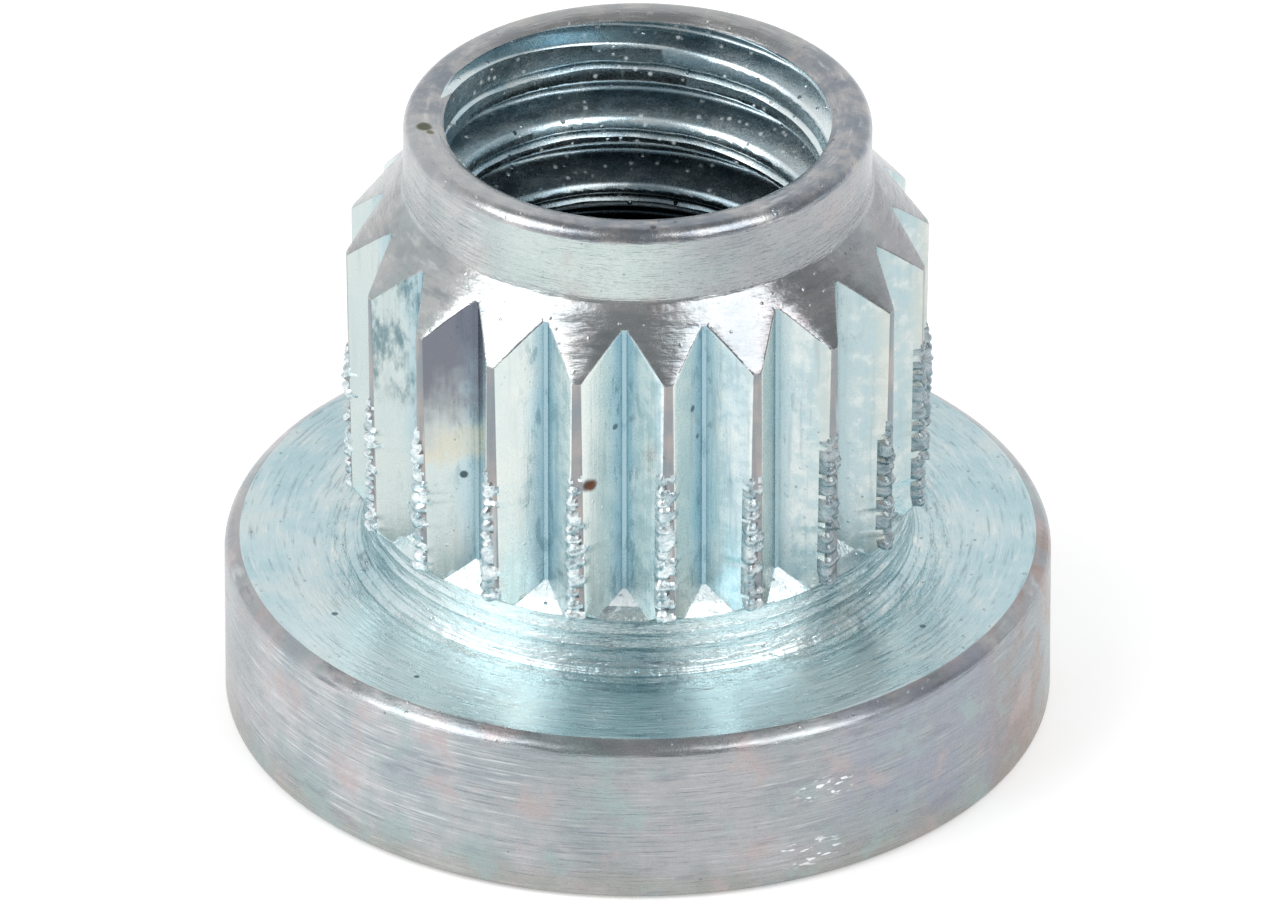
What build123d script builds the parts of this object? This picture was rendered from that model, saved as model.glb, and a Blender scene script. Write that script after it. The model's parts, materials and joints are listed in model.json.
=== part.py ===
from build123d import *
from build123d.topology import SkipClean
from math import ceil, cos, pi, radians, sin, tan
import os

# A one-piece press-in nut, turned from bar: a round flange, a plain neck, a barrel
# with V-shaped serrations, a lead-in cone and a short plain pilot, with one threaded
# bore right through. It stands on the flange. The origin is the centre of the
# underside, and +Z runs along the bore towards the pilot. All sizes are in mm.

# Flange
flange_d = 11.5
flange_t = 2.47
flange_chamfer_w = 0.21  # broken upper edge, measured across the face
flange_chamfer_h = 0.13  # and down the side
flange_base_round = 0.12  # rounding of the lower edge

# Neck, with a fillet at its foot and a sloped shoulder up to the barrel
neck_d = 7.64
neck_h = 0.85
neck_fillet = 0.2
shoulder_h = 0.15

# Barrel, a little larger at the top than at the neck
barrel_bottom_d = 8.0
barrel_top_d = 8.1
barrel_h = 3.73

# Serrations round the barrel
groove_count = 20
groove_depth = 0.53  # below the barrel's top diameter
groove_root_w = 0.14  # flat at the bottom of each groove
crest_w = 0.13  # land left between two grooves at the barrel's top
runout_angle = 42  # slope of the ramp that ends each groove at the neck, from the axis

# Lead-in cone and pilot
cone_h = 0.91
pilot_wall = 0.24  # left outside the thread's root
pilot_h = 1.05
pilot_fillet = 0.15  # between cone and pilot
rim_round = 0.2  # outer edge of the pilot's end
rim_crown_w = 0.3  # the end falls away in a soft curve towards the bore, this wide
rim_crown_h = 0.1  # and this deep

# Bore with a metric coarse thread, right-handed
thread_d = 6.0
thread_pitch = 1.0
thread_angle = 183  # where the thread's root runs out at the pilot's end, in degrees from +X
mouth_h = 1.0  # opened-out stretch at the pilot's end, where the thread's crests are cut back
mouth_w = 0.22  # how far its rim is opened out beyond the crests
mouth_taper = 0.04  # less at its bottom, which a 45 degree step joins to the crests
base_mouth_lead = 0.69  # 45 degree lead-in at the flange's underside

# Heights of each step above the underside
neck_top = flange_t + neck_h
barrel_base = neck_top + shoulder_h
barrel_top = barrel_base + barrel_h
cone_top = barrel_top + cone_h
total_h = cone_top + pilot_h

# Radii
flange_r = flange_d / 2
neck_r = neck_d / 2
barrel_bottom_r = barrel_bottom_d / 2
barrel_top_r = barrel_top_d / 2
thread_r = thread_d / 2
minor_r = (thread_d - 1.0825 * thread_pitch) / 2  # basic minor radius of a 60 degree thread
pilot_r = thread_r + pilot_wall
mouth_r = minor_r + mouth_w
mouth_bottom_r = mouth_r - mouth_taper
mouth_bottom = total_h - mouth_h
mouth_foot = mouth_bottom - (mouth_bottom_r - minor_r)
crown_r = mouth_r + rim_crown_w
base_mouth_r = minor_r + base_mouth_lead

# One groove: flanks that open from the root to the width between two lands
root_r = barrel_top_r - groove_depth
edge_angle = pi / groove_count - crest_w / 2 / barrel_top_r  # from a groove's middle to its edge
flank_slope = (barrel_top_r * sin(edge_angle) - groove_root_w / 2) / (barrel_top_r * cos(edge_angle) - root_r)
cutter_r = max(barrel_top_r, barrel_bottom_r) + 0.05
cutter_w = groove_root_w + 2 * flank_slope * (cutter_r - root_r)
runout_slope = 1 / tan(radians(runout_angle))
ramp_top = neck_top + (neck_r - root_r) * runout_slope
ramp_bottom = neck_top - (cutter_r - neck_r) * runout_slope

# The cutter is the groove's cross-section, trimmed from the side by its ramp
with BuildPart() as groove:
    with BuildSketch():
        with BuildLine():
            Polyline(
                (root_r, -groove_root_w / 2),
                (cutter_r, -cutter_w / 2),
                (cutter_r, cutter_w / 2),
                (root_r, groove_root_w / 2),
                close=True,
            )
        make_face()
    extrude(amount=total_h)
    with BuildSketch(Plane.XZ):
        with BuildLine():
            Polyline(
                (root_r, ramp_top),
                (cutter_r, ramp_bottom),
                (cutter_r, total_h),
                (root_r, total_h),
                close=True,
            )
        make_face()
    extrude(amount=cutter_w, both=True, mode=Mode.INTERSECT)

# A quarter of the bore, with the lead-in at its foot and the opened-out mouth
with BuildPart() as bore_quarter:
    with BuildSketch(Plane.XZ):
        with BuildLine():
            Polyline(
                (crown_r, total_h),
                (0, total_h),
                (0, 0),
                (base_mouth_r, 0),
                (minor_r, base_mouth_lead),
                (minor_r, mouth_foot),
                (mouth_bottom_r, mouth_bottom),
                (mouth_r, total_h - rim_crown_h),
            )
            TangentArc((crown_r, total_h), (mouth_r, total_h - rim_crown_h), tangent=(-1, 0))
        make_face()
    revolve(axis=Axis.Z, revolution_arc=90)

# One turn of the thread's groove, a 60 degree V with a flat root
thread_root_w = thread_pitch / 8
thread_slope = tan(radians(30))
thread_inner_r = minor_r - 0.1  # the cutter starts inside the bore's wall
thread_inner_w = thread_root_w + 2 * thread_slope * (thread_r - thread_inner_r)
thread_turns = ceil(total_h / thread_pitch) + 2  # past both ends of the bore
thread_start = total_h - (thread_turns - 1) * thread_pitch

with BuildPart() as thread_turn:
    with BuildLine() as helix:
        Helix(pitch=thread_pitch, height=thread_pitch, radius=minor_r)
    with BuildSketch(Plane.XZ):
        with BuildLine():
            Polyline(
                (thread_inner_r, -thread_inner_w / 2),
                (thread_r, -thread_root_w / 2),
                (thread_r, thread_root_w / 2),
                (thread_inner_r, thread_inner_w / 2),
                close=True,
            )
        make_face()
    sweep(path=helix.line, is_frenet=True)

with BuildPart() as press_in_nut:
    # Turned outside, as one half-section about the axis
    with BuildSketch(Plane.XZ) as section:
        with BuildLine():
            Polyline(
                (0, 0),
                (flange_r, 0),
                (flange_r, flange_t - flange_chamfer_h),
                (flange_r - flange_chamfer_w, flange_t),
                (neck_r, flange_t),
                (neck_r, neck_top),
                (barrel_bottom_r, barrel_base),
                (barrel_top_r, barrel_top),
                (pilot_r, cone_top),
                (pilot_r, total_h),
                (0, total_h),
                close=True,
            )
        make_face()
        for corner, radius in (
            ((flange_r, 0), min(flange_base_round, flange_t / 3)),
            ((neck_r, flange_t), min(neck_fillet, neck_h / 2)),
            ((pilot_r, cone_top), min(pilot_fillet, pilot_h / 3)),
            ((pilot_r, total_h), min(rim_round, pilot_h / 3, pilot_r - crown_r - 0.02)),
        ):
            fillet(section.vertices().sort_by_distance((*corner, 0))[0], radius=radius)
    revolve(axis=Axis.Z)

    # Serrations, with one groove on the +X side
    with PolarLocations(0, groove_count):
        add(groove.part, mode=Mode.SUBTRACT)

    # Bore and thread, cut by quarters and by turns, which stay separate faces of the wall
    with SkipClean():
        with PolarLocations(0, 4):
            add(bore_quarter.part, mode=Mode.SUBTRACT)
        for turn in range(thread_turns):
            with Locations(Location((0, 0, thread_start + turn * thread_pitch), (0, 0, thread_angle))):
                add(thread_turn.part, mode=Mode.SUBTRACT)

press_in_nut.part.label = "press_in_nut"

os.makedirs("parts", exist_ok=True)
export_step(press_in_nut.part, "parts/press_in_nut.step")
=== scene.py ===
import json
import math
import random

import bmesh
import bpy
from mathutils import Matrix, Vector, noise


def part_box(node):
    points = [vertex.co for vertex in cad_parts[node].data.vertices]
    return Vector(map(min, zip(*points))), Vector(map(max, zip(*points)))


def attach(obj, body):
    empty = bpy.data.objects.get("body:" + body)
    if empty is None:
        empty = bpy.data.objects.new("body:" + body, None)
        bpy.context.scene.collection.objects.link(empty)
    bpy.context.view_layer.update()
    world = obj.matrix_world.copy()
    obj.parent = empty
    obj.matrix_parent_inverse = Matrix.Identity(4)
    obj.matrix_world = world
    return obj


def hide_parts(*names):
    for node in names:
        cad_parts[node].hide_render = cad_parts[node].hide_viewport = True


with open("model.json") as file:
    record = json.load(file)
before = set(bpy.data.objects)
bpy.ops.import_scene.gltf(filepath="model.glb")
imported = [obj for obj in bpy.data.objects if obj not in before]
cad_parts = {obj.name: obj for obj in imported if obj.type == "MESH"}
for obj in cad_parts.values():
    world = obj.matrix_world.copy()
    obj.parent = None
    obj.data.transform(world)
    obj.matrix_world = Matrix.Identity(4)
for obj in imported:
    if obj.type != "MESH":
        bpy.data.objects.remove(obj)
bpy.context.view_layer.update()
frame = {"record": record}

# A zinc plated press-in nut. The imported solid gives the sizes, and the piece made here stands for it with
# the rolled thread, the lathe's rings, the burrs along the serrations' crests and the plated finish.
# Lengths are in millimetres until a mesh is written, which is in metres.

MM = 0.001
MICRON = 0.001 * MM
random.seed(7)


# ---------------------------------------------------------------- sizes

mounts = {m["name"]: m for m in frame["record"]["mounts"]}
low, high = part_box("press_in_nut")

flange_r = high.x / MM
flange_t = mounts["flange_seat"]["pos_m"][2] / MM
total_h = high.z / MM
minor_r = mounts["thread"]["dims"]["r_mm"]
pilot_r = mounts["pilot"]["dims"]["r_mm"]

flange_chamfer_w = 0.21
flange_chamfer_h = 0.13
flange_base_round = 0.12
flange_bend = 0.10  # how far down the side the chamfer's soft lower edge starts
chamfer_flat = (0.45, 0.85)  # shares of the chamfer between which it stays flat
face_bend = 0.03  # width of the chamfer's soft upper edge on the face
neck_r = 3.82
neck_fillet = 0.2
neck_top = flange_t + 0.85
barrel_base = neck_top + 0.15
barrel_top = barrel_base + 3.73
barrel_bottom_r = 4.0
barrel_top_r = 4.05
barrel_edge = 0.012  # the barrel's upper edge is broken by this much
cone_top = barrel_top + 0.91
pilot_fillet = 0.15
fillet_reach = 0.06  # of the pilot's fillet, out along the cone
fillet_lift = 0.04  # and up the pilot
rim_round = 0.2

base_mouth_r = minor_r + 0.69
mouth_r = minor_r + 0.22
taper_top = total_h - 0.5  # the crests open out from the taper's foot to the mouth
taper_foot = total_h - 2.0
crown_w = 0.3
crown_h = 0.1
join_r = pilot_r - rim_round - 0.008  # where the liner that is threaded meets the outside

groove_count = 20
groove_depth = 0.53
groove_root_w = 0.06
crest_w = 0.13
runout_angle = math.radians(42)
root_r = barrel_top_r - groove_depth
sector = 2 * math.pi / groove_count
edge_angle = sector / 2 - crest_w / 2 / barrel_top_r
flank_slope = ((barrel_top_r * math.sin(edge_angle) - groove_root_w / 2)
               / (barrel_top_r * math.cos(edge_angle) - root_r))

thread_pitch = 1.0
thread_r = 3.0
thread_crest = 0.32  # left between two turns at the minor radius
thread_root = 0.13
thread_phase = math.radians(183)  # where the thread's root comes out at the rim
thread_fade = 0.34  # height over which the first turn grows to its full section
thread_least = 0.10  # share of that section that it starts with
thread_over = 0.03  # how far above the rim it starts
crest_round = 0.05
root_round = 0.05
root_rough = 0.02
flank_middle = 0.3  # depth of a point half way down the thread's flank
seam_depth = 0.075  # of the split that thread rolling leaves along the crest
seam_w = 0.1
seam_fade = 0.30  # the split ends this far below the rim, over the same height
seam_lift = 0.12  # how far its cutter is drawn out of the wall there
seam_wander = 0.025
seam_rough = 0.008

# The lathe's rings: coarse ones round the neck, fine ones in its fillet and on the flange's face
ring_pitch = 0.19
ring_depth = 0.024
ring_points = 6  # points of the section in one ring
fillet_ring_count = 3
fillet_ring_depth = 0.013
face_ring_reach = 0.5  # how far out from the fillet they show
face_ring_pitch = 0.16
face_ring_depth = 0.018

# Burrs: lumps of metal rolled up on the serrations' crests and over their left-hand edges
burr_top = barrel_base + 2.65  # above it the crests are clean
burr_ends = (0.7, 0.12)  # most and least that a crest's burrs stop below that
burr_reach = 0.06  # how far down the flanks they spread
burr_fade = 0.6  # height over which they dwindle at their top
lump_half_h = (0.055, 0.1)
lump_spacing = (1.6, 2.6)  # in half heights
lump_place = (-0.11, -0.04)  # across the crest from its middle
lump_half_w = 0.11
lump_lift = 0.09
lump_fullness = 0.6  # a lower power makes fuller lumps
lump_rough = 0.012
side_lump_chance = 0.5  # that a lump has a smaller one beside it
side_lump_shift = 0.07
side_lump_place = 0.05
side_lump_half_w = 0.07
side_lump_lift = 0.06

# Tolerances
slack = 0.01  # distance that a face may lie from a surface and still belong to it
wall_slack = 0.001
weld = 1e-5  # points closer than this are one
seam_weld = 2e-5

front = 3  # the nut's front, in degrees from -Y towards +X; azimuths are counted from it


# ---------------------------------------------------------------- shader tools

class Value:
    """A number's socket in a material, for use in plain arithmetic."""

    def __init__(self, shader, socket):
        self.shader = shader
        self.socket = socket

    def maths(self, operation, first, second=None):
        inputs = {0: first} if second is None else {0: first, 1: second}
        return self.shader.add("Math", inputs, operation=operation).value()

    def __add__(self, other):
        return self.maths("ADD", self, other)

    def __radd__(self, other):
        return self.maths("ADD", other, self)

    def __sub__(self, other):
        return self.maths("SUBTRACT", self, other)

    def __rsub__(self, other):
        return self.maths("SUBTRACT", other, self)

    def __mul__(self, other):
        return self.maths("MULTIPLY", self, other)

    def __rmul__(self, other):
        return self.maths("MULTIPLY", other, self)

    def __truediv__(self, other):
        return self.maths("DIVIDE", self, other)

    def __rtruediv__(self, other):
        return self.maths("DIVIDE", other, self)

    def __pow__(self, other):
        return self.maths("POWER", self, other)

    def __abs__(self):
        return self.maths("ABSOLUTE", self)

    def smooth(self, start, end, low=0.0, high=1.0):
        """A soft step from low to high as the value goes from start to end."""
        inputs = {"Value": self, "From Min": start, "From Max": end, "To Min": low, "To Max": high}
        return self.shader.add("MapRange", inputs, interpolation_type="SMOOTHSTEP").value()


class Added:
    """A node just added, whose outputs are asked for by name or place."""

    def __init__(self, shader, node):
        self.shader = shader
        self.node = node

    def out(self, name=0):
        return self.node.outputs[name]

    def value(self, name=0):
        return Value(self.shader, self.node.outputs[name])


class Shader:
    """A node tree and the one way in which nodes are added to it."""

    def __init__(self, tree):
        self.tree = tree
        tree.nodes.clear()

    def add(self, kind, inputs=None, **settings):
        """Adds a node of a kind, which is named without ShaderNode."""
        node = self.tree.nodes.new("ShaderNode" + kind)
        for name, setting in settings.items():
            if name == "stops":
                self.set_stops(node.color_ramp, setting)
            else:
                setattr(node, name, setting)
        for name, given in (inputs or {}).items():
            if isinstance(given, Value):
                given = given.socket
            if isinstance(given, bpy.types.NodeSocket):
                self.tree.links.new(given, node.inputs[name])
            else:
                node.inputs[name].default_value = given
        return Added(self, node)

    def set_stops(self, ramp, stops):
        while len(ramp.elements) < len(stops):
            ramp.elements.new(1.0)
        for element, (place, colour) in zip(ramp.elements, stops):
            element.position = place
            element.color = colour

    def ramp(self, value, colours):
        """Evenly spaced colours, from the first at 0 to the last at 1."""
        stops = [(i / (len(colours) - 1), (*colour, 1)) for i, colour in enumerate(colours)]
        return self.add("ValToRGB", {0: value}, stops=stops).out()

    def blend(self, factor, first, second):
        """A colour between two others, which the Mix node takes at its sockets 6 and 7."""
        if isinstance(second, tuple):
            second = (*second, 1)
        return self.add("Mix", {0: factor, 6: first, 7: second}, data_type="RGBA").out(2)

    def speckle(self, vector, scale, detail, rough):
        """Noise from 0 to 1, mostly near the middle."""
        return self.add("TexNoise", {
            "Vector": vector, "Scale": scale, "Detail": detail, "Roughness": rough}).value("Fac")

    def scattered(self, vector, scale):
        """Cells round scattered points, and the parts of each cell's own random colour."""
        cells = self.add("TexVoronoi", {
            "Vector": vector, "Scale": scale, "Randomness": 1.0})
        return cells, self.add("SeparateColor", {0: cells.out("Color")})


# ---------------------------------------------------------------- finishes

class Coat:
    """The plating at a point of the nut: its place in millimetres, its marks and its colour so far."""

    def __init__(self, shader):
        self.shader = shader
        metres = shader.add("TexCoord").out("Object")
        self.spot = shader.add("VectorMath", {0: metres, "Scale": 1 / MM}, operation="SCALE").out()
        split = shader.add("SeparateXYZ", {0: self.spot})
        self.x, self.y, self.z = (split.value(axis) for axis in "XYZ")
        self.r = (self.x * self.x + self.y * self.y) ** 0.5

    def around(self, turns, fineness):
        """A vector for marks that run round the nut without a seam, fine across the lathe's cut.

        Height counts more than radius, so that no slope of the nut is left without marks."""
        cut = (self.r + self.z * 1.37) * fineness
        return self.shader.add("CombineXYZ", {
            0: self.x / self.r * turns, 1: self.y / self.r * turns, 2: cut}).out()

    def along(self, fineness, stretch):
        """A vector for marks that run up the nut, as a rolled groove's do."""
        return self.shader.add("CombineXYZ", {
            0: self.x * fineness, 1: self.y * fineness, 2: self.z * stretch}).out()

    def angle(self):
        return self.y.maths("ARCTAN2", self.y, self.x)

    def across_groove(self):
        """From -1 to 1 across a groove, 0 in its middle."""
        turn = self.angle() / sector + groove_count + 0.5
        return (turn.maths("FRACT", turn) - 0.5) * 2.0

    def near(self, x, y, z, radius, squash=1.0):
        """1 at a spot and 0 beyond a radius from it; squash flattens the spot."""
        dx = self.x - x
        dy = self.y - y
        dz = (self.z - z) * squash
        away = (dx * dx + dy * dy + dz * dz) ** 0.5
        return away.smooth(radius * 0.55, radius, 1.0, 0.0)

    def facing(self, azimuth, start, end, low=0.0, high=1.0):
        """A soft step by the cosine of the angle between an azimuth and the way that the nut faces."""
        x, y = plan_direction(azimuth)
        return ((self.x * x + self.y * y) / self.r).smooth(start, end, low, high)

    def mark(self, mottle, turns, fineness, stretch):
        """Sets the fine and coarse marks, the film's thickness and the dust, which all finishes have."""
        speckle = self.shader.speckle
        if stretch:
            self.fine = speckle(self.along(9.0, stretch), 1.0, 3.0, 0.6)
            self.coarse = speckle(self.along(3.0, stretch * 0.4), 1.0, 2.0, 0.5)
        else:
            self.fine = speckle(self.around(turns, fineness), 1.0, 3.0, 0.65)
            self.coarse = speckle(self.around(turns / 3, fineness / 3), 1.0, 2.0, 0.5)
        self.film = speckle(self.spot, mottle, 4.0, 0.6)
        self.dust = speckle(self.spot, 30.0, 3.0, 0.7)

    def lay(self, share, tint):
        """Lays a share of a tint over the colour so far."""
        self.colour = self.shader.blend(share, self.colour, tint)


def plan_direction(azimuth):
    """The direction in plan of a place on the nut, counted from its front towards its right."""
    a = math.radians(azimuth + front)
    return math.sin(a), -math.cos(a)


# Tints of worn and shaded marks, pits and painted glints
WORN = (0.85, 0.88, 0.88)
SHADED = (0.20, 0.24, 0.27)
PITTED = (0.10, 0.15, 0.16)
PAINTED_GLINT_WHITE = (0.80, 0.88, 0.90)

pit_strength = 0.5
pit_depth = 4.0  # in microns, as marks are


def plating(name, tints, roughness, anisotropy, marks, grain=0.3, mottle=1.3, sparkle=0.0, grit=7.0,
            bloom=0.0, turns=6.0, fineness=13.0, streaks=0.3, stretch=None, paint=None):
    """Zinc plating over steel, with the cut's marks, faint pits and the drifting tints of its passivation.

    tints go from thin to thick film, and mottle is how close they change. marks, grain and sparkle are
    heights in microns, and grit is how close the sparkling specks lie. bloom turns some of the specks
    dull white near the pilot, as painted glints. turns and fineness set how short and how close the
    lathe's marks are, and streaks how far they show in the colour. stretch turns the marks upright, and
    paint is a function that adds what belongs to one finish alone."""
    material = bpy.data.materials.new(name)
    material.use_nodes = True
    shader = Shader(material.node_tree)
    coat = Coat(shader)
    coat.mark(mottle, turns, fineness, stretch)
    thickness = (coat.film * 0.7 + coat.fine * 0.15 + coat.coarse * 0.15).smooth(0.36, 0.64)
    coat.colour = shader.ramp(thickness, tints)
    coat.lay(coat.fine.smooth(0.54, 0.72, 0.0, streaks), WORN)
    coat.lay(coat.fine.smooth(0.46, 0.28, 0.0, streaks), SHADED)
    if paint:
        paint(coat)

    cells, chance = shader.scattered(coat.spot, 3.4)
    size = chance.value("Red").smooth(0.6, 1.0, 0.0, 0.10)
    pit = (cells.value("Distance") - size).smooth(0.0, -0.05) * pit_strength
    coat.lay(pit, PITTED)

    height = (coat.fine * 0.6 + coat.coarse * 0.4) * marks + coat.dust * grain - pit * pit_depth
    metal = 1.0
    if sparkle:
        specks, kept = shader.scattered(coat.spot, grit)
        bead = specks.value("Distance").smooth(0.24, 0.0)
        height = height + bead * kept.value("Green").smooth(0.7, 0.8) * sparkle
    if bloom:
        # Painted glints: some specks laid dull white and not metallic, near the pilot
        white_glints = specks.value("Distance").smooth(0.30, 0.12)
        white_glints = white_glints * kept.value("Blue").smooth(0.3, 0.4)
        clusters = coat.film.smooth(0.47, 0.55) * coat.z.smooth(6.0, 7.0)
        white = white_glints * clusters * bloom
        coat.lay(white, PAINTED_GLINT_WHITE)
        metal = 1 - white
    bump = shader.add("Bump", {
        "Strength": 1.0, "Distance": MICRON, "Height": height}).out()
    worn = coat.fine * 0.5 + coat.dust * 0.5
    surface = shader.add("BsdfPrincipled", {
        "Base Color": coat.colour,
        "Metallic": metal,
        "Roughness": worn.smooth(0.3, 0.7, roughness - 0.06, roughness + 0.08),
        "Anisotropic": anisotropy,
        "Anisotropic Rotation": 0.25,  # a quarter turn lays the highlights across the lathe's marks
        "Normal": bump,
    })
    shader.add("OutputMaterial", {"Surface": surface.out()})
    return material


# Flecks and pits that stand alone: azimuth, radius, height, size and tint
GROOVE_SPOTS = (
    (-11.0, 3.92, 5.55, 0.15, (0.05, 0.03, 0.03)),
    (-9.9, 3.87, 5.52, 0.13, (0.16, 0.06, 0.03)),
    (-41.3, 3.63, 5.02, 0.075, (0.05, 0.09, 0.10)),
    (12.0, 3.70, 6.6, 0.07, (0.12, 0.17, 0.20)),
    (13.5, 3.62, 6.1, 0.06, (0.14, 0.19, 0.22)),
    (-5.0, 3.60, 6.3, 0.06, (0.14, 0.20, 0.24)),
)
RIM_SPOTS = (
    (-84.0, 2.96, 9.14, 0.14, (0.09, 0.10, 0.06)),
    (-81.0, 2.90, 9.12, 0.08, (0.16, 0.15, 0.09)),
    (4.0, 3.05, 9.14, 0.06, (0.12, 0.12, 0.13)),
)
FACE_SPOTS = (
    (-62.0, 4.75, 2.47, 0.06, (0.14, 0.22, 0.24)),
    (-38.0, 4.95, 2.47, 0.05, (0.14, 0.22, 0.24)),
    (57.0, 4.70, 2.47, 0.06, (0.14, 0.22, 0.24)),
)
SIDE_GLINTS = ((24, 0.46, 0.65), (27, 1.42, 0.55))  # azimuth, height and reach


def spotted(coat, spots):
    """Lays each spot on a list."""
    for azimuth, r, z, size, tint in spots:
        x, y = plan_direction(azimuth)
        coat.lay(coat.near(x * r, y * r, z, size) * 0.95, tint)


# Tints of the grooves
CREAM_PAINTED_REFLECTION = (0.72, 0.75, 0.69)
VALLEY_BLUE = (0.37, 0.54, 0.61)
ROOT_PAINTED_SHADE = (0.22, 0.36, 0.42)
PAINTED_EDGE_HIGHLIGHT = (0.93, 0.97, 0.97)
BLOTCH_BLUE = (0.15, 0.28, 0.33)
GROOVE_RIGHT_PAINTED_SHADE = (0.36, 0.42, 0.41)
GROOVE_LEFT_PAINTED_SHADE = (0.36, 0.45, 0.46)
CLOUD_BLUE = (0.38, 0.53, 0.57)
WHITE_CLOUD_AND_PAINTED_LIGHT = (0.84, 0.87, 0.84)
WARM_GREY = (0.60, 0.60, 0.53)
AMBER = (0.60, 0.53, 0.36)
DARK_VIOLET_GREY = (0.11, 0.11, 0.15)
DAB_BLUE = (0.08, 0.17, 0.21)

darkened_groove = -41.5  # azimuths of the two grooves darkened below the cone
dabbed_groove = -58


def groove_tints(coat):
    """Painted cream reflection on one flank, blue and blotched valleys, painted light and shade on flanks,
    roots and sides, and two grooves darker below the cone.
    """
    across = coat.across_groove()
    blotch = coat.shader.speckle(coat.along(5.0, 1.7), 1.0, 4.0, 0.7)
    # Painted reflection: the left-hand flank of each groove laid lighter and cream
    painted_cream = (coat.film * 0.5 - across - 0.25).smooth(0.10, 0.50)
    coat.lay(painted_cream * 0.6, CREAM_PAINTED_REFLECTION)
    valley = abs(across + coat.fine * 0.3 - 0.15).smooth(0.40, 0.04)
    coat.lay(valley * 0.75, VALLEY_BLUE)
    # Painted shade: the groove's root laid darker and blue
    root = abs(across).smooth(0.12, 0.05)
    coat.lay(root * 0.5, ROOT_PAINTED_SHADE)
    # Painted highlight: a broken bright line along the right-hand flank's outer edge
    edge = across.smooth(0.82, 0.86) * blotch.smooth(0.40, 0.50)
    coat.lay(edge * 0.6, PAINTED_EDGE_HIGHLIGHT)
    marked = blotch.smooth(0.54, 0.66) * abs(across).smooth(0.65, 0.15)
    coat.lay(marked * 0.6, BLOTCH_BLUE)
    # Painted shade: the grooves greyer on the nut's right and far left
    coat.lay(coat.facing(75, 0.5, 1.0) * 0.55, GROOVE_RIGHT_PAINTED_SHADE)
    coat.lay(coat.facing(-75, 0.6, 1.0) * 0.4, GROOVE_LEFT_PAINTED_SHADE)

    clouds = coat.shader.speckle(coat.spot, 4.5, 3.0, 0.6)
    right_flank = across.smooth(0.15, 0.4)
    coat.lay(clouds.smooth(0.50, 0.58) * right_flank * 0.45, CLOUD_BLUE)
    # Random white clouds on the right-hand flanks, partly painted light that lightens them
    coat.lay(clouds.smooth(0.50, 0.34) * right_flank * 0.25, WHITE_CLOUD_AND_PAINTED_LIGHT)
    warm = (across - coat.film * 0.6).smooth(0.25, 0.65) * coat.facing(70, 0.5, 0.95)
    coat.lay(warm * 0.6, WARM_GREY)

    level = coat.z + coat.film * 2.6 + coat.fine * 0.8  # height with a wandering edge
    darkened = coat.facing(darkened_groove, 0.988, 0.994)
    coat.lay(abs(level - 7.3).smooth(0.5, 0.0) * darkened * 0.45, AMBER)
    coat.lay(level.smooth(7.2, 8.6) * darkened * 0.85, DARK_VIOLET_GREY)
    dabbed = coat.facing(dabbed_groove, 0.984, 0.992) * level.smooth(7.0, 8.0)
    coat.lay(blotch.smooth(0.42, 0.66) * dabbed * 0.75, DAB_BLUE)
    spotted(coat, GROOVE_SPOTS)


# Tints of the turned outside
BLOOM_PINK = (0.48, 0.40, 0.40)
BLOOM_GREEN = (0.35, 0.45, 0.45)
SIDE_RIGHT_PAINTED_SHADE = (0.27, 0.28, 0.29)
SIDE_LEFT_PAINTED_SHADE = (0.30, 0.30, 0.30)
VIOLET = (0.28, 0.31, 0.39)
BROWN = (0.34, 0.25, 0.22)
OLIVE = (0.35, 0.33, 0.27)
TARNISH = (0.24, 0.25, 0.29)
GLINT = (0.90, 0.92, 0.95)
PILOT_GREEN = (0.56, 0.66, 0.63)
CONE_SHADE = (0.26, 0.29, 0.31)
TIP_RIGHT_PAINTED_SHADE = (0.25, 0.26, 0.28)
TIP_LEFT_PAINTED_SHADE = (0.25, 0.26, 0.26)
RIM_BACK_PAINTED_LIGHT = (0.52, 0.52, 0.50)
RIM_LEFT_PAINTED_LIGHT = (0.52, 0.53, 0.53)
FACE_PAINTED_HIGHLIGHT = (0.84, 0.94, 0.95)


def drifting(coat, strength):
    """Pink and green blooms."""
    bloom = coat.shader.speckle(coat.spot, 0.9, 4.0, 0.65)
    coat.lay(bloom.smooth(0.52, 0.66, 0.0, strength), BLOOM_PINK)
    coat.lay(bloom.smooth(0.46, 0.34, 0.0, strength), BLOOM_GREEN)


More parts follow.
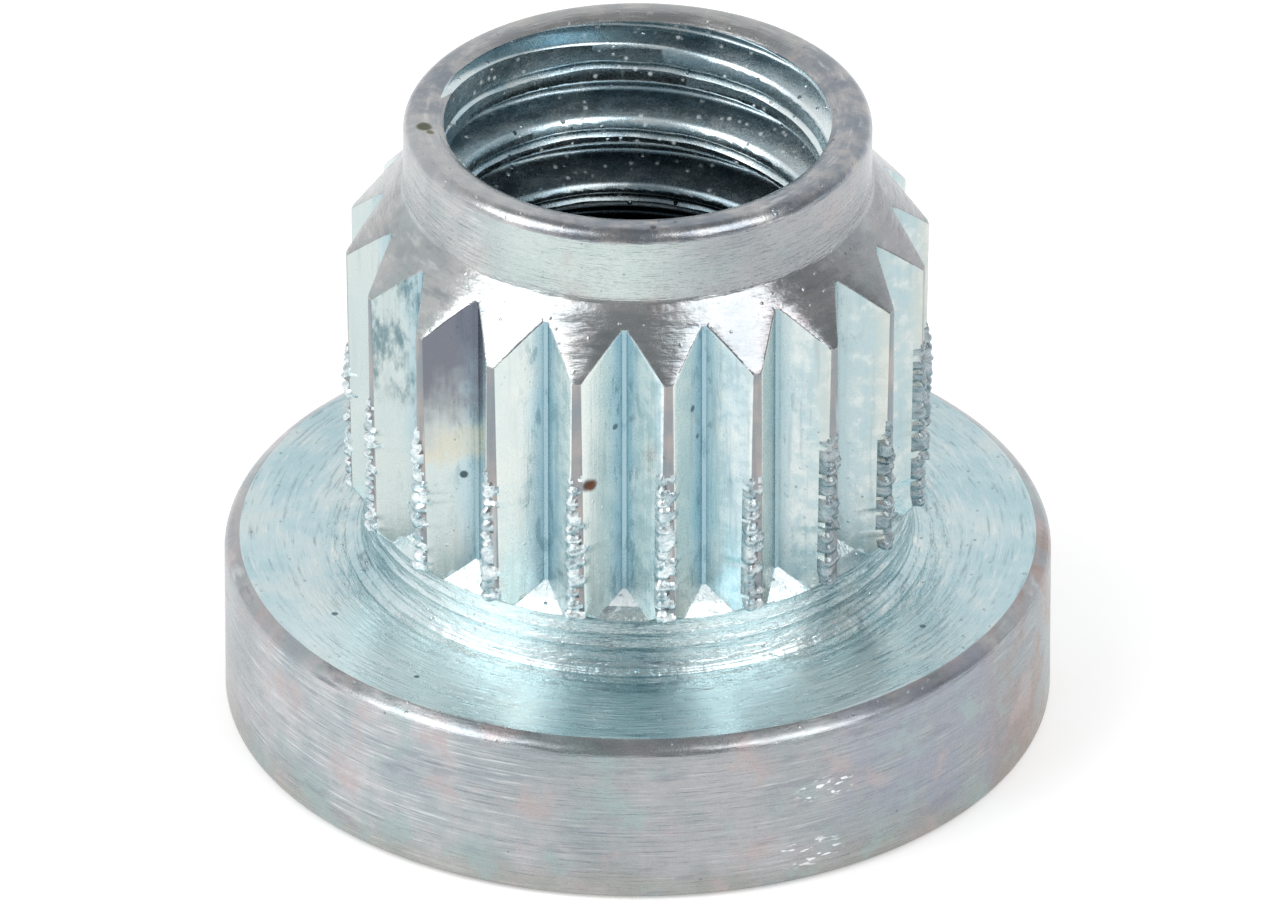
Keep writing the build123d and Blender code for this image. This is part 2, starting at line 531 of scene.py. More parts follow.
def side_tints(coat):
    """The flange's side: painted shade from the front round to the right and at the far left, brown far
    right, olive low down, and painted glints.
    """
    # Painted shade: the side greyer from the front round to the right, and at the far left
    coat.lay(coat.facing(78, -0.6, 0.3, 0.0, 0.42), SIDE_RIGHT_PAINTED_SHADE)
    coat.lay(coat.facing(-90, 0.86, 1.0, 0.0, 0.35), SIDE_LEFT_PAINTED_SHADE)
    violet = coat.facing(46, 0.93, 0.99) * coat.film.smooth(0.40, 0.56)
    coat.lay(violet * 0.55, VIOLET)
    brown = coat.facing(76, 0.93, 0.995) * coat.film.smooth(0.36, 0.52)
    coat.lay(brown * 0.75, BROWN)
    foot = (coat.z + coat.film * 1.2).smooth(1.35, 0.6, 0.0, 0.45)
    coat.lay(foot, OLIVE)
    drifting(coat, 0.6)
    tarnish = coat.shader.speckle(coat.around(5.0, 2.6), 1.0, 3.0, 0.7)
    coat.lay(tarnish.smooth(0.56, 0.68, 0.0, 0.4), TARNISH)
    dash = coat.shader.speckle(coat.around(34.0, 17.0), 1.0, 1.0, 0.5).smooth(0.58, 0.66)
    for azimuth, z, reach in SIDE_GLINTS:
        x, y = plan_direction(azimuth)
        patch = coat.near(x * flange_r, y * flange_r, z, reach, 2.5)
        coat.lay(dash * patch, GLINT)


def tip_tints(coat):
    """The cone and pilot, greenish in front, with painted shade down the cone's middle and towards both
    sides.
    """
    on_pilot = coat.z.smooth(cone_top - 0.1, cone_top + 0.1)
    front_left = coat.facing(-12, 0.80, 0.98)
    coat.lay(front_left * on_pilot * 0.7, PILOT_GREEN)
    # Painted shade: the cone darker down its middle
    on_cone = coat.z.smooth(cone_top, cone_top - 0.2)
    middle = coat.facing(0, 0.975, 0.995)
    coat.lay(middle * on_cone * 0.55, CONE_SHADE)
    # Painted shade: the tip greyer towards the right and the left
    coat.lay(coat.facing(78, 0.15, 0.6, 0.0, 0.6), TIP_RIGHT_PAINTED_SHADE)
    coat.lay(coat.facing(-90, 0.55, 0.9, 0.0, 0.3), TIP_LEFT_PAINTED_SHADE)
    drifting(coat, 0.3)


def rim_tints(coat):
    """The pilot's end, with painted light behind and front left, and the nick where the thread runs out."""
    # Painted light: the rim laid lighter behind and at the front left
    coat.lay(coat.facing(180, 0.3, 0.9) * 0.5, RIM_BACK_PAINTED_LIGHT)
    coat.lay(coat.facing(-58, 0.75, 0.95) * 0.6, RIM_LEFT_PAINTED_LIGHT)
    spotted(coat, RIM_SPOTS)


def face_tints(coat):
    """The flange's face, with painted highlights in two patches at the front, and a few pits."""
    left = coat.facing(-38, 0.82, 0.97)
    right = coat.facing(24, 0.93, 0.99)
    # Painted highlights: two lighter patches at the front, on the face and the neck
    coat.lay(left * 0.6 + right * 0.6, FACE_PAINTED_HIGHLIGHT)
    spotted(coat, FACE_SPOTS)


# Tints of the burrs and the bore
BURR_SHADE = (0.15, 0.21, 0.24)
BORE_PAINTED_LIGHT = (0.90, 0.97, 0.98)
BORE_PAINTED_SHADE = (0.02, 0.03, 0.04)


def burr_tints(coat):
    """Darker on the right-hand crests."""
    coat.lay(coat.facing(75, 0.4, 0.9) * 0.65, BURR_SHADE)


def thread_tints(coat):
    """Painted light on the right, and painted shade deep in the bore, but not at its foot."""
    # Painted light: the bore's right-hand wall laid lighter
    right = coat.facing(75, 0.1, 0.85) * 0.85
    coat.lay(right, BORE_PAINTED_LIGHT)
    # Painted shade: the bore laid dark from the middle down, but not at its foot
    deep = coat.z.smooth(7.4, 5.8, 0.0, 0.95) * coat.z.smooth(0.8, 2.4)
    coat.lay(deep, BORE_PAINTED_SHADE)


FINISHES = {
    "side": plating("side_plating", ((0.36, 0.41, 0.44), (0.44, 0.47, 0.49), (0.53, 0.53, 0.55)),
                    0.28, 0.55, 20.0, grain=1.6, sparkle=6.0, mottle=1.0, fineness=26.0,
                    streaks=0.7, paint=side_tints),
    "tip": plating("tip_plating", ((0.38, 0.42, 0.44), (0.47, 0.50, 0.51), (0.56, 0.57, 0.57)),
                   0.23, 0.45, 26.0, grain=0.8, sparkle=6.0, mottle=1.4, fineness=17.0,
                   streaks=0.45, paint=tip_tints),
    "rim": plating("rim_plating", ((0.23, 0.26, 0.30), (0.32, 0.34, 0.37), (0.46, 0.45, 0.45)),
                   0.24, 0.4, 16.0, grain=2.5, sparkle=10.0, mottle=2.6, fineness=10.0,
                   streaks=0.35, paint=rim_tints),
    "face": plating("face_plating", ((0.46, 0.64, 0.69), (0.54, 0.70, 0.74), (0.64, 0.74, 0.75)),
                    0.30, 0.6, 48.0, grain=2.0, sparkle=12.0, mottle=1.0, turns=7.0, fineness=14.0,
                    streaks=0.5, paint=face_tints),
    "neck": plating("neck_plating", ((0.40, 0.57, 0.62), (0.50, 0.66, 0.70), (0.62, 0.73, 0.74)),
                    0.26, 0.5, 75.0, grain=3.5, sparkle=18.0, mottle=1.0, turns=7.0, fineness=10.0,
                    streaks=0.7, paint=face_tints),
    "groove": plating("groove_plating", ((0.47, 0.64, 0.69), (0.58, 0.71, 0.75), (0.70, 0.78, 0.78)),
                      0.24, 0.0, 6.0, grain=1.6, sparkle=5.0, mottle=0.9, stretch=0.5, streaks=0.4,
                      paint=groove_tints),
    "ramp": plating("ramp_plating", ((0.68, 0.79, 0.82), (0.78, 0.86, 0.88), (0.90, 0.94, 0.94)),
                    0.30, 0.0, 40.0, grain=14.0, sparkle=20.0, stretch=0.8, streaks=0.4),
    "land": plating("land_plating", ((0.24, 0.28, 0.31), (0.29, 0.30, 0.31), (0.38, 0.35, 0.34)),
                    0.28, 0.2, 4.0, stretch=0.6),
    "burr": plating("burr_plating", ((0.34, 0.46, 0.50), (0.62, 0.72, 0.75), (0.88, 0.93, 0.94)),
                    0.25, 0.0, 8.0, grain=8.0, mottle=5.0, paint=burr_tints),
    "thread": plating("thread_plating", ((0.43, 0.57, 0.64), (0.55, 0.68, 0.74), (0.70, 0.79, 0.81)),
                      0.25, 0.0, 1.2, grain=2.5, sparkle=45.0, grit=6.5, bloom=0.9, turns=8.0, fineness=5.0,
                      streaks=0.15, paint=thread_tints),
}
SLOTS = list(FINISHES)


# ---------------------------------------------------------------- the nut's form

def arc(centre, radius, start, end, steps):
    """Points on a quarter or other arc of the half-section, angles in degrees."""
    points = []
    for i in range(steps + 1):
        a = math.radians(start + (end - start) * i / steps)
        points.append((centre[0] + radius * math.cos(a), centre[1] + radius * math.sin(a)))
    return points


def rows(start, end, spacing):
    """Points from one place of the half-section to another, the last one left out."""
    count = max(1, round(math.hypot(end[0] - start[0], end[1] - start[1]) / spacing))
    return [
        (start[0] + (end[0] - start[0]) * i / count, start[1] + (end[1] - start[1]) * i / count)
        for i in range(count)
    ]


def between(start, end, share):
    """The point a share of the way from one to another."""
    return start[0] + (end[0] - start[0]) * share, start[1] + (end[1] - start[1]) * share


def bend(start, corner, end, steps):
    """Points on a soft bend from start to end, round a corner."""
    return [
        between(between(start, corner, i / steps), between(corner, end, i / steps), i / steps)
        for i in range(steps + 1)
    ]


def barrel_radius(z):
    """Radius of the turned outside between the neck and the end of the cone."""
    corners = (
        (neck_r, neck_top),
        (barrel_bottom_r, barrel_base),
        (barrel_top_r, barrel_top),
        (pilot_r, cone_top),
    )
    for (r0, z0), (r1, z1) in zip(corners, corners[1:]):
        if z <= z1:
            return r0 + (r1 - r0) * (z - z0) / (z1 - z0)
    return pilot_r


cone_slope = (cone_top - barrel_top) / (barrel_top_r - pilot_r)
arch_top = barrel_top + (barrel_top_r - root_r) * cone_slope
ramp_top = neck_top + (neck_r - root_r) / math.tan(runout_angle)


def neck_rings():
    """The neck's side from the fillet up, in shallow hollows that a round-nosed tool leaves."""
    bottom = flange_t + neck_fillet
    count = round((neck_top - bottom) / ring_pitch)
    points = []
    for i in range(count * ring_points):
        share = i / ring_points
        hollow = 1 - (2 * (share % 1) - 1) ** 2
        points.append((neck_r - ring_depth * hollow, bottom + (neck_top - bottom) * share / count))
    return points


def fillet_rings(centre):
    """The fillet at the neck's foot, in shallow steps, ending just short of the neck's first ring."""
    steps = fillet_ring_count * ring_points
    points = []
    for i in range(steps + 1):
        a = math.radians(270 - 84 * i / steps)
        step = 0.5 - 0.5 * math.cos(2 * math.pi * fillet_ring_count * i / steps)
        radius = neck_fillet - fillet_ring_depth * step
        points.append((centre[0] + radius * math.cos(a), centre[1] + radius * math.sin(a)))
    return points


def face_rings(start, end):
    """The flange's face from its rim in to the fillet, with faint rings that deepen towards the neck."""
    ringed = end + face_ring_reach
    points = rows((start, flange_t), (ringed, flange_t), 0.25)
    for r, z in rows((ringed, flange_t), (end, flange_t), face_ring_pitch / 4):
        near_neck = max(0, 1 - (r - end) / face_ring_reach)
        ring = 0.5 + 0.5 * math.sin(r * 2 * math.pi / face_ring_pitch)
        points.append((r, z - face_ring_depth * near_neck * ring))
    return points


def crown():
    """The pilot's end, a soft curve from its outer rounding down to the mouth."""
    radius = (crown_w ** 2 + crown_h ** 2) / (2 * crown_h)
    sweep = math.degrees(math.asin(crown_w / radius))
    return arc((mouth_r + crown_w, total_h - radius), radius, 90, 90 + sweep, 8)


def liner_section():
    """The closed half-section of the ring that the bore and its thread are cut in."""
    points = [(join_r, base_mouth_r - join_r), (join_r, total_h)]
    points += crown()
    points += rows((mouth_r, total_h - crown_h - 0.02), (mouth_r, taper_top), 0.2)
    points += rows((mouth_r, taper_top), (minor_r, taper_foot), 0.25)
    points += [(minor_r, taper_foot), (minor_r, base_mouth_r - minor_r)]
    return points


# Spacing of the section's points
plain_step = 0.3  # where the wall is plain
flange_step = 0.5
shoulder_step = 0.03  # where the ramps run out
burr_step = 0.048  # where burrs are raised
arch_step = 0.045  # where the grooves end in arches on the cone


def outer_section():
    """The half-section of the outside, from the liner's foot round to its top."""
    points = [(join_r, base_mouth_r - join_r), (base_mouth_r, 0)]
    points += arc((flange_r - flange_base_round, flange_base_round), flange_base_round, -90, 0, 6)
    corner = (flange_r, flange_t - flange_chamfer_h)
    inner = (flange_r - flange_chamfer_w, flange_t)
    side_top = (flange_r, corner[1] - flange_bend)
    points += rows((flange_r, flange_base_round + flange_bend), side_top, flange_step)
    points += bend(side_top, corner, between(corner, inner, chamfer_flat[0]), 6)
    points += bend(between(corner, inner, chamfer_flat[1]), inner, (inner[0] - face_bend, flange_t), 2)

    face_inner = neck_r + neck_fillet
    points += face_rings(flange_r - flange_chamfer_w - 2 * face_bend, face_inner)
    points += fillet_rings((face_inner, flange_t + neck_fillet))
    points += neck_rings()

    ramp_end = (barrel_radius(ramp_top), ramp_top)
    burr_end = (barrel_radius(burr_top), burr_top)
    barrel_end = (barrel_top_r, barrel_top - barrel_edge)
    cone_start = (barrel_radius(barrel_top + barrel_edge), barrel_top + barrel_edge)
    cone_end = (pilot_r + fillet_reach, cone_top - fillet_reach * cone_slope)
    points += rows((neck_r, neck_top), (barrel_bottom_r, barrel_base), shoulder_step)
    points += rows((barrel_bottom_r, barrel_base), ramp_end, shoulder_step)
    points += rows(ramp_end, burr_end, burr_step)
    points += rows(burr_end, barrel_end, plain_step)
    points += [barrel_end]
    points += rows(cone_start, (root_r, arch_top), arch_step)
    points += rows((root_r, arch_top), cone_end, fillet_reach)

    tilt = math.degrees(math.atan(1 / cone_slope))
    points += arc((pilot_r + pilot_fillet, cone_top + fillet_lift), pilot_fillet, 180 + tilt, 180, 4)
    points += rows((pilot_r, cone_top + 3 * fillet_lift), (pilot_r, total_h - rim_round), plain_step)
    points += arc((pilot_r - rim_round, total_h - rim_round), rim_round, 0, 90, 8)
    points += [(join_r, total_h)]
    return points


# Stations round one sector, from the middle of a groove to the middle of the next
ROOT_STEPS, FLANK_STEPS, EDGE_STEPS, LAND_STEPS = 1, 3, 2, 3
STEPS = 2 * (ROOT_STEPS + FLANK_STEPS + EDGE_STEPS) + LAND_STEPS
FLANK_SHARES = (0, 0.28, 0.84, 1)  # how far up the flank each of its stations lies
edge_round = 0.028
flank_limit = 0.3  # the rounding of an edge takes at most this share of its flank
land_limit = 0.7  # and of half its land
arch_spread = 0.3  # height over which stations that are bunched at an arch's top spread out


def groove_at(z, radius):
    """One groove at this height, or None: its root's x and half width, and its edge's x and y."""
    x_root = max(root_r, neck_r - (z - neck_top) * math.tan(runout_angle))
    if radius <= x_root + weld / 10:
        return None
    w_root = groove_root_w / 2 + flank_slope * (x_root - root_r)
    flat_edge = math.sqrt(radius ** 2 - x_root ** 2)
    if flat_edge <= w_root:
        return x_root, flat_edge, x_root, flat_edge
    a = 1 + flank_slope ** 2
    offset = w_root - flank_slope * x_root
    b = 2 * flank_slope * offset
    c = offset ** 2 - radius ** 2
    x_edge = (-b + math.sqrt(b * b - 4 * a * c)) / (2 * a)
    return x_root, w_root, x_edge, offset + flank_slope * x_edge


def half_station(z, radius, j):
    """Place of station j of a half sector, from the middle of a groove to the middle of a land."""
    half_steps = STEPS / 2
    edge_j = ROOT_STEPS + FLANK_STEPS + EDGE_STEPS
    groove = groove_at(z, radius)
    if groove is None:
        even = sector * j / STEPS
        calm = min(1, abs(z - arch_top) / arch_spread) if z > barrel_base else 1
        tip_a = groove_root_w / 2 / root_r  # the groove closes to this at the top of its arch
        if j <= ROOT_STEPS:
            bunched = tip_a * j / ROOT_STEPS
        elif j <= edge_j:
            bunched = tip_a * (1 + (j - ROOT_STEPS) / (edge_j - ROOT_STEPS))
        else:
            bunched = 2 * tip_a + (sector / 2 - 2 * tip_a) * (j - edge_j) / (half_steps - edge_j)
        a = bunched + (even - bunched) * calm
        return radius * math.cos(a), radius * math.sin(a)
    x_root, w_root, x_edge, y_edge = groove
    if j <= ROOT_STEPS:
        return x_root, w_root * j / ROOT_STEPS
    flank = math.hypot(x_edge - x_root, y_edge - w_root)
    edge_a = math.atan2(y_edge, x_edge)
    land_half = sector / 2 - edge_a
    back = min(edge_round, flank * flank_limit, land_half * radius * land_limit)
    reach = back / flank if flank > 0 else 0
    j -= ROOT_STEPS
    if j <= FLANK_STEPS:
        t = (1 - reach) * FLANK_SHARES[j]
        return x_root + (x_edge - x_root) * t, w_root + (y_edge - w_root) * t
    j -= FLANK_STEPS
    land_a = edge_a + back / radius
    if j <= EDGE_STEPS:
        t = j / EDGE_STEPS
        start = Vector((x_root + (x_edge - x_root) * (1 - reach), w_root + (y_edge - w_root) * (1 - reach)))
        corner = Vector((x_edge, y_edge))
        end = Vector((radius * math.cos(land_a), radius * math.sin(land_a)))
        point = start * (1 - t) ** 2 + corner * 2 * t * (1 - t) + end * t ** 2
        return point.x, point.y
    j -= EDGE_STEPS
    a = land_a + (sector / 2 - land_a) * j / (half_steps - edge_j)
    return radius * math.cos(a), radius * math.sin(a)


def station(z, radius, j):
    """Place of station j of a whole sector, in the frame of the groove that it starts from."""
    if j <= STEPS / 2:
        return half_station(z, radius, j)
    x, y = half_station(z, radius, STEPS - j)
    a = sector - math.atan2(y, x)
    d = math.hypot(x, y)
    return d * math.cos(a), d * math.sin(a)


def serrate(mesh):
    """Moves the spun outside onto the serrations' lands, flanks, roots and ramps."""
    step = 2 * math.pi / (groove_count * STEPS)
    for vert in mesh.verts:
        radius = math.hypot(vert.co.x, vert.co.y)
        z = vert.co.z
        if not neck_top < z < cone_top:
            continue
        k = round(math.atan2(vert.co.y, vert.co.x) / step) % (groove_count * STEPS)
        which, j = divmod(k, STEPS)
        x, y = station(z, radius, j)
        vert.co = Matrix.Rotation(which * sector, 3, "Z") @ Vector((x, y, z))


def wall_radius(z):
    """Radius of the thread's crests at this height, which the mouth opens out."""
    share = (z - taper_foot) / (taper_top - taper_foot)
    return minor_r + (mouth_r - minor_r) * max(0, min(1, share))


turn_steps = 80  # steps in one turn of a thread's cutter
cutter_margin = 0.10  # a cutter starts this far inside the bore's wall


def helical_bar(half):
    """A closed bar wound longer than the bore, from the upper half of its section."""
    mesh = bmesh.new()
    profile = [(r, -z) for r, z in half] + [(r, z) for r, z in reversed(half)]
    turns = math.ceil(total_h / thread_pitch) + 2
    start = total_h - (turns - 1) * thread_pitch
    verts = [mesh.verts.new((r, 0, z)) for r, z in profile]
    edges = [mesh.edges.new(pair) for pair in zip(verts, verts[1:] + verts[:1])]
    bmesh.ops.rotate(mesh, verts=verts, matrix=Matrix.Rotation(thread_phase, 3, "Z"))
    bmesh.ops.translate(mesh, verts=verts, vec=(0, 0, start))
    bmesh.ops.spin(mesh, geom=verts + edges, axis=(0, 0, 1), cent=(0, 0, 0), angle=2 * math.pi * turns,
                   steps=turn_steps * turns, dvec=(0, 0, thread_pitch / turn_steps))
    bmesh.ops.holes_fill(mesh, edges=[e for e in mesh.edges if e.is_boundary], sides=0)
    bmesh.ops.recalc_face_normals(mesh, faces=mesh.faces)
    for face in mesh.faces:
        face.material_index = SLOTS.index("thread")
    return mesh


def middle_height(vert, lead):
    """Height of the middle of the bar's section at a vertex, lead up from the root's helix."""
    turn = (math.atan2(vert.co.y, vert.co.x) - thread_phase) / (2 * math.pi)
    base = turn * thread_pitch + total_h + lead
    return base + round((vert.co.z - base) / thread_pitch) * thread_pitch


def move(vert, radius, z):
    """Moves a vertex to a radius and height, at the angle that it has."""
    out = Vector((vert.co.x, vert.co.y, 0)).normalized() * radius
    vert.co = (out.x, out.y, z)


def roughened(vert, amount):
    """A small uneven distance, in waves with finer ones on them."""
    return noise.noise(vert.co * 3.1) * amount + noise.noise(vert.co * 9.0) * amount * 0.4


def thread_cutter():
    """The thread's groove: a V with a flat root, flared where the crests are rounded."""
    open_half = (thread_pitch - thread_crest) / 2
    root_half = thread_root / 2
    slope = (open_half - root_half) / (thread_r - minor_r)
    half = [(minor_r - cutter_margin, open_half + cutter_margin), (minor_r, open_half + crest_round)]
    half += [(minor_r + crest_round * 0.4, open_half + crest_round * 0.15)]
    half += [(minor_r + t, open_half - slope * t) for t in (crest_round, crest_round * 1.5, flank_middle)]
    half += [(thread_r - t, root_half + slope * t) for t in (root_round * 1.8, root_round)]
    half += [(thread_r - root_round * 0.24, root_half - root_round * 0.2)]
    half += [(thread_r, root_half - root_round * 0.7)]
    mesh = helical_bar(half)
    for vert in mesh.verts:
        radius = math.hypot(vert.co.x, vert.co.y)
        middle = middle_height(vert, 0)
        away = vert.co.z - middle
        grown = max(thread_least, min(1, (total_h + thread_over - middle) / thread_fade))
        deep = min(1, grown * 1.5 + 0.05)  # the depth grows before the width does
        shrink = (thread_r - wall_radius(middle + away * grown)) / (thread_r - minor_r)
        flat = min(abs(away), root_half)
        away = math.copysign(flat + (abs(away) - flat) * shrink, away) * grown
        depth = (radius - minor_r) * shrink * (deep if radius > minor_r else 1)
        radius = wall_radius(middle + away) + depth
        if radius > minor_r + flank_middle:
            radius -= abs(roughened(vert, root_rough))
        move(vert, radius, middle + away)
    return mesh


def seam_cutter():
    """The narrow split along the middle of the thread's crest, as rolling leaves it."""
    half = [
        (minor_r - cutter_margin / 2, seam_w * 1.1),
        (minor_r, seam_w * 0.62),
        (minor_r + seam_depth * 0.5, seam_w * 0.25),
        (minor_r + seam_depth, seam_w * 0.04),
    ]
    mesh = helical_bar(half)
    bmesh.ops.translate(mesh, verts=mesh.verts, vec=(0, 0, thread_pitch / 2))
    for vert in mesh.verts:
        radius = math.hypot(vert.co.x, vert.co.y)
        middle = middle_height(vert, thread_pitch / 2)
        full = max(0.0, min(1, (total_h - seam_fade - middle) / seam_fade))
        lifted = radius - minor_r - seam_lift * (1 - full)
        wander = noise.noise(vert.co * 2.3) * seam_wander
        move(vert, wall_radius(vert.co.z) + lifted + roughened(vert, seam_rough), vert.co.z + wander)
    return mesh


neck_finish_w = 0.55  # the neck's finish reaches this far out on the flange's face


def finish_of(face):
    """The finish that a face takes, by where it lies."""
    middle = face.calc_center_median()
    r = math.hypot(middle.x, middle.y)
    z = middle.z
    if z <= flange_t - flange_chamfer_h / 2 or r > flange_r - flange_chamfer_w:
        return "side"
    if z < neck_top or (z < barrel_base and r < neck_r + slack):
        return "face" if r > neck_r + neck_finish_w else "neck"
    if z < arch_top and r > root_r - 2 * slack:
        turned = barrel_radius(z)
        if z < barrel_top and r > turned - slack:
            return "land"
        if z >= barrel_top and abs(r - turned) < slack:
            return "tip"
        if abs(face.normal.z) > 0.5:
            return "ramp"
        return "groove"
    return "rim" if z > total_h - rim_round * 0.8 else "tip"


def crest_lumps():
    """Lumps up one crest: height, half height, place across, half width and lift of each."""
    lumps = []
    top = random.uniform(burr_top - burr_ends[0], burr_top - burr_ends[1])
    z = barrel_base + 0.03
    while z < top:
        fade = min(1, (top - z) / burr_fade + 0.4) * random.uniform(0.8, 1.15)
        tall = random.uniform(*lump_half_h)
        lumps.append((z, tall, random.uniform(*lump_place), lump_half_w * fade, lump_lift * fade))
        if random.random() < side_lump_chance:
            side_z = z + random.uniform(-side_lump_shift, side_lump_shift)
            size = (side_lump_half_w * fade, side_lump_lift * fade)
            lumps.append((side_z, tall * 0.8, side_lump_place, *size))
        z += tall * random.uniform(*lump_spacing)
    return lumps


def raise_burrs(mesh):
    """Rolls lumps of metal up on each crest and over its left-hand edge; gives back the faces raised."""
    crests = [crest_lumps() for _ in range(groove_count)]
    mesh.normal_update()
    raised = {}
    for vert in mesh.verts:
        radius = math.hypot(vert.co.x, vert.co.y)
        if not barrel_base < vert.co.z < burr_top or radius < barrel_radius(vert.co.z) - burr_reach:
            continue
        turn = math.atan2(vert.co.y, vert.co.x) / sector - 0.5
        across = (turn - round(turn)) * sector * radius
        lift = 0
        for z, half_h, place, half_w, full_lift in crests[round(turn) % groove_count]:
            away = ((vert.co.z - z) / half_h) ** 2 + ((across - place) / half_w) ** 2
            if away < 1:
                lift = max(lift, full_lift * (1 - away) ** lump_fullness)
        if lift > 0:
            raised[vert] = vert.normal * (lift + roughened(vert, lump_rough))
    for vert, shift in raised.items():
        vert.co += shift
    return [f for f in mesh.faces if sum(1 for v in f.verts if v in raised) > 1]


def spun(section, closed):
    """A half-section turned all the way round, with one station for each of the serrations' steps."""
    mesh = bmesh.new()
    verts = [mesh.verts.new((r, 0, z)) for r, z in section]
    pairs = list(zip(verts, verts[1:])) + ([(verts[-1], verts[0])] if closed else [])
    edges = [mesh.edges.new(pair) for pair in pairs]
    bmesh.ops.spin(mesh, geom=verts + edges, axis=(0, 0, 1), cent=(0, 0, 0), angle=2 * math.pi,
                   steps=groove_count * STEPS, use_merge=True)
    bmesh.ops.remove_doubles(mesh, verts=mesh.verts, dist=weld)
    return mesh


def make_outside():
    """The turned and serrated outside, open where the liner goes."""
    mesh = spun(outer_section(), False)
    serrate(mesh)
    bmesh.ops.remove_doubles(mesh, verts=mesh.verts, dist=weld)
    bmesh.ops.recalc_face_normals(mesh, faces=mesh.faces)
    for face in mesh.faces:
        face.material_index = SLOTS.index(finish_of(face))
    for face in raise_burrs(mesh):
        face.material_index = SLOTS.index("burr")
    return mesh


def make_liner():
    """The bore's ring, with the thread and its seam cut out of it and its outer wall taken off."""
    mesh = spun(liner_section(), True)
    bmesh.ops.recalc_face_normals(mesh, faces=mesh.faces)
    for face in mesh.faces:
        middle = face.calc_center_median()
        on_crown = middle.z > total_h - crown_h - slack
        face.material_index = SLOTS.index("rim" if on_crown else "thread")
    liner = to_object(mesh, "liner")
    cutters = joined(thread_cutter(), seam_cutter())
    cut_away(liner, to_object(cutters, "thread_cutters"))
    mesh = from_object(liner)
    wall_r = join_r - wall_slack
    wall = [f for f in mesh.faces if all(math.hypot(v.co.x, v.co.y) > wall_r for v in f.verts)]
    bmesh.ops.delete(mesh, geom=wall, context="FACES")
    return mesh


def put_in_scene(name, data):
    """An object that holds a mesh, a light or a camera."""
    holder = bpy.data.objects.new(name, data)
    bpy.context.scene.collection.objects.link(holder)
    return holder


def to_object(mesh, name):
    """Writes a mesh in metres as an object at the origin, with every finish in its slots."""
    bmesh.ops.scale(mesh, vec=(MM, MM, MM), verts=mesh.verts)
    data = bpy.data.meshes.new(name)
    mesh.to_mesh(data)
    mesh.free()
    for slot in SLOTS:
        data.materials.append(FINISHES[slot])
    return put_in_scene(name, data)


def from_object(piece):
    """Takes an object's mesh back in millimetres and removes the object."""
    mesh = bmesh.new()
    mesh.from_mesh(piece.data)
    bmesh.ops.scale(mesh, vec=(1 / MM, 1 / MM, 1 / MM), verts=mesh.verts)
    bpy.data.objects.remove(piece)
    return mesh


def cut_away(body, cutter):
    """Takes a cutter's form out of a body and removes the cutter."""
    cut = body.modifiers.new("cut", "BOOLEAN")
    cut.operation = "DIFFERENCE"
    cut.solver = "EXACT"
    cut.object = cutter
    seen = body.evaluated_get(bpy.context.evaluated_depsgraph_get())
    left = bpy.data.meshes.new_from_object(seen)
    body.modifiers.clear()
    body.data = left
    bpy.data.objects.remove(cutter)


def joined(first, second):
    """Adds one mesh to another and closes the seam between them."""
    moved = bpy.data.meshes.new("moved")
    second.to_mesh(moved)
    second.free()
    first.from_mesh(moved)
    bpy.data.meshes.remove(moved)
    bmesh.ops.remove_doubles(first, verts=first.verts, dist=seam_weld)
    return first


# Angles in degrees past which an edge is sharp: elsewhere, within a burr, and round a burr
crease = 32
burr_crease = 70
burr_border = 8


def make_nut():
    """The whole nut as one closed piece."""
    mesh = joined(make_liner(), make_outside())
    bmesh.ops.recalc_face_normals(mesh, faces=mesh.faces)
    rough = SLOTS.index("burr")
    for edge in mesh.edges:
        burred = [f.material_index == rough for f in edge.link_faces]
        limit = burr_crease if all(burred) else burr_border if any(burred) else crease
        edge.smooth = edge.is_manifold and edge.calc_face_angle() < math.radians(limit)
    for face in mesh.faces:
        face.smooth = True
    return to_object(mesh, "press_in_nut_plated")


nut = make_nut()
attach(nut, "root")
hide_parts("press_in_nut")


# ---------------------------------------------------------------- studio

view_azimuth = math.radians(front)
view_elevation = math.radians(30.92)
view_distance = 0.3950
aim = Vector((0, 0, 3.777 * MM))
aim_right = 0.031 * MM


def direction(azimuth, elevation):
    """Unit vector from the part, azimuth counted from the camera's side towards its right."""
    a = view_azimuth + azimuth
    level = math.cos(elevation)
    return Vector((level * math.sin(a), -level * math.cos(a), math.sin(elevation)))


def look_along(holder, way):
    holder.rotation_euler = way.to_track_quat("-Z", "Y").to_euler()


def make_camera():
    camera = bpy.data.cameras.new("camera")
    camera.lens = 800
    camera.sensor_width = 36
    camera.clip_start = 0.01
    camera.clip_end = 10
    holder = put_in_scene("camera", camera)
    out = direction(0, view_elevation)
    side = Vector((math.cos(view_azimuth), math.sin(view_azimuth), 0))
    holder.location = aim + side * aim_right + out * view_distance
    look_along(holder, -out)
    bpy.context.scene.camera = holder


def make_softbox(name, azimuth, elevation, width, height, distance, power):
    light = bpy.data.lights.new(name, "AREA")
    light.shape = "RECTANGLE"
    light.size = width
    light.size_y = height
    light.energy = power
    holder = put_in_scene(name, light)
    out = direction(math.radians(azimuth), math.radians(elevation))
    holder.location = out * distance
    look_along(holder, -out)


floor_r = 1.5  # in metres
floor_gap = 0.02  # keeps the floor off the underside, which is seen through it from below
floor_lift = 0.35  # brings the lit floor to white where it is seen, and leaves the part's shadow on it


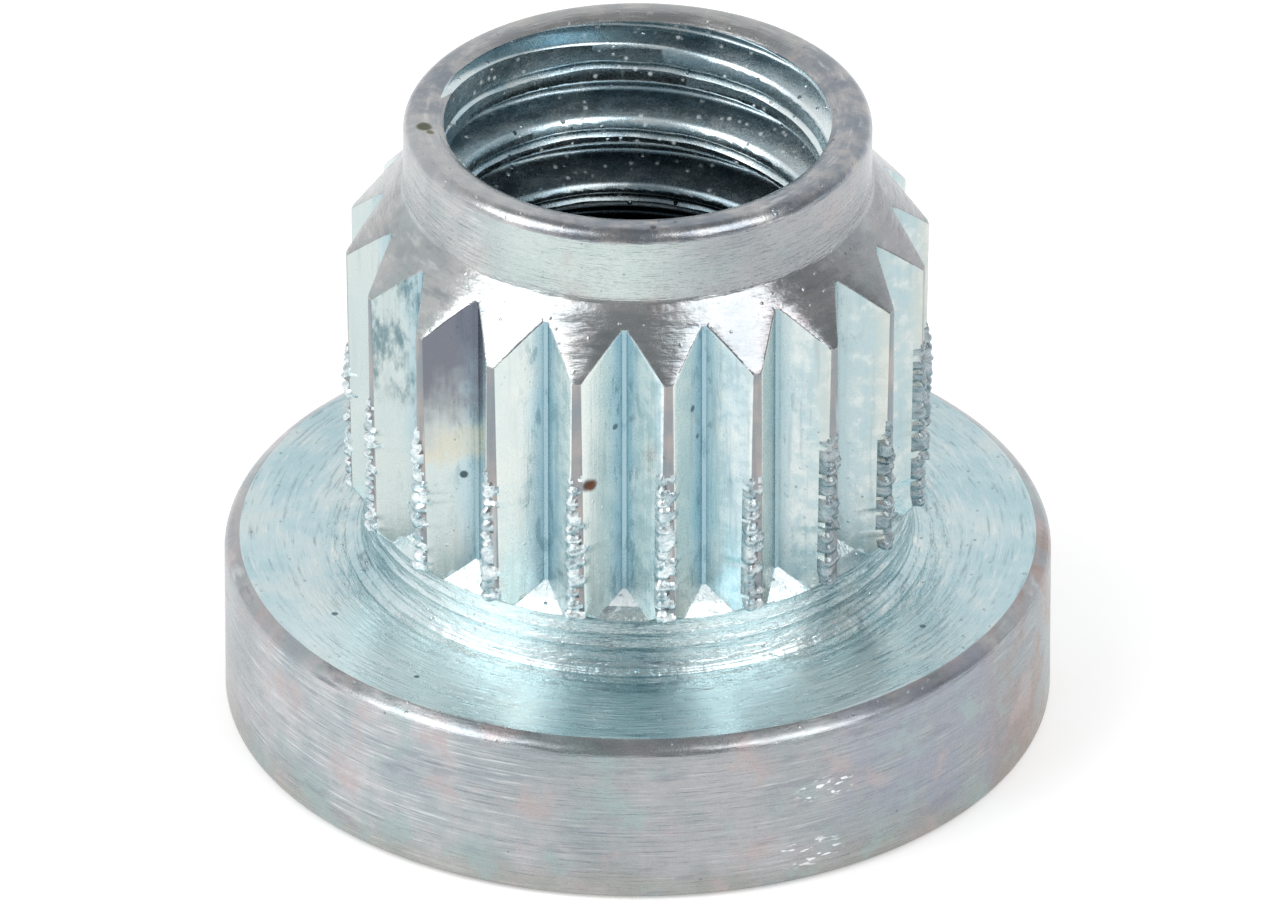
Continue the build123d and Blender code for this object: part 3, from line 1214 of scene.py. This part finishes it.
def make_floor():
    mesh = bmesh.new()
    bmesh.ops.create_circle(mesh, cap_ends=True, radius=floor_r, segments=64)
    bmesh.ops.translate(mesh, verts=mesh.verts, vec=(0, 0, -floor_gap * MM))
    data = bpy.data.meshes.new("floor")
    mesh.to_mesh(data)
    mesh.free()
    material = bpy.data.materials.new("pale_floor")
    material.use_nodes = True
    shader = Shader(material.node_tree)
    matt = shader.add("BsdfDiffuse", {"Color": (0.86, 0.86, 0.86, 1)})
    ray = shader.add("LightPath")
    seen = ray.value("Is Camera Ray") + ray.value("Is Glossy Ray") + ray.value("Is Transmission Ray")
    glow = shader.add("Emission", {"Color": (1, 1, 1, 1), "Strength": seen * floor_lift})
    both = shader.add("AddShader", {0: matt.out(), 1: glow.out()})
    below = shader.add("NewGeometry").out("Backfacing")
    clear = shader.add("BsdfTransparent")
    surface = shader.add("MixShader", {0: below, 1: both.out(), 2: clear.out()})
    shader.add("OutputMaterial", {"Surface": surface.out()})
    data.materials.append(material)
    put_in_scene("floor", data)


room_light = 0.40
backdrop_light = 0.56


def make_world():
    """A plain room: dim in front, overhead and on the right, white low down behind the part."""
    world = bpy.data.worlds.new("studio")
    bpy.context.scene.world = world
    world.use_nodes = True
    shader = Shader(world.node_tree)
    way = shader.add("TexCoord").out("Generated")
    turned = shader.add("VectorRotate", {"Vector": way, "Angle": -view_azimuth}, rotation_type="Z_AXIS")
    split = shader.add("SeparateXYZ", {0: turned.out()})
    x, y, z = (split.value(axis) for axis in "XYZ")
    dim = (1 - y.smooth(0.0, 0.6)) * (1 - x.smooth(-0.3, -0.9) * 0.9)
    level = room_light + (1 - dim) * z.smooth(0.95, 0.6) * backdrop_light
    background = shader.add("Background", {"Color": (1, 1, 1, 1), "Strength": level})
    shader.add("OutputWorld", {"Surface": background.out()})


make_camera()
make_floor()
make_world()
make_softbox("left_softbox", azimuth=-64, elevation=46, width=0.26, height=0.30, distance=0.42, power=0.66)
make_softbox("right_softbox", azimuth=51, elevation=46, width=0.24, height=0.30, distance=0.42, power=0.62)
bpy.context.scene.view_settings.view_transform = "Standard"
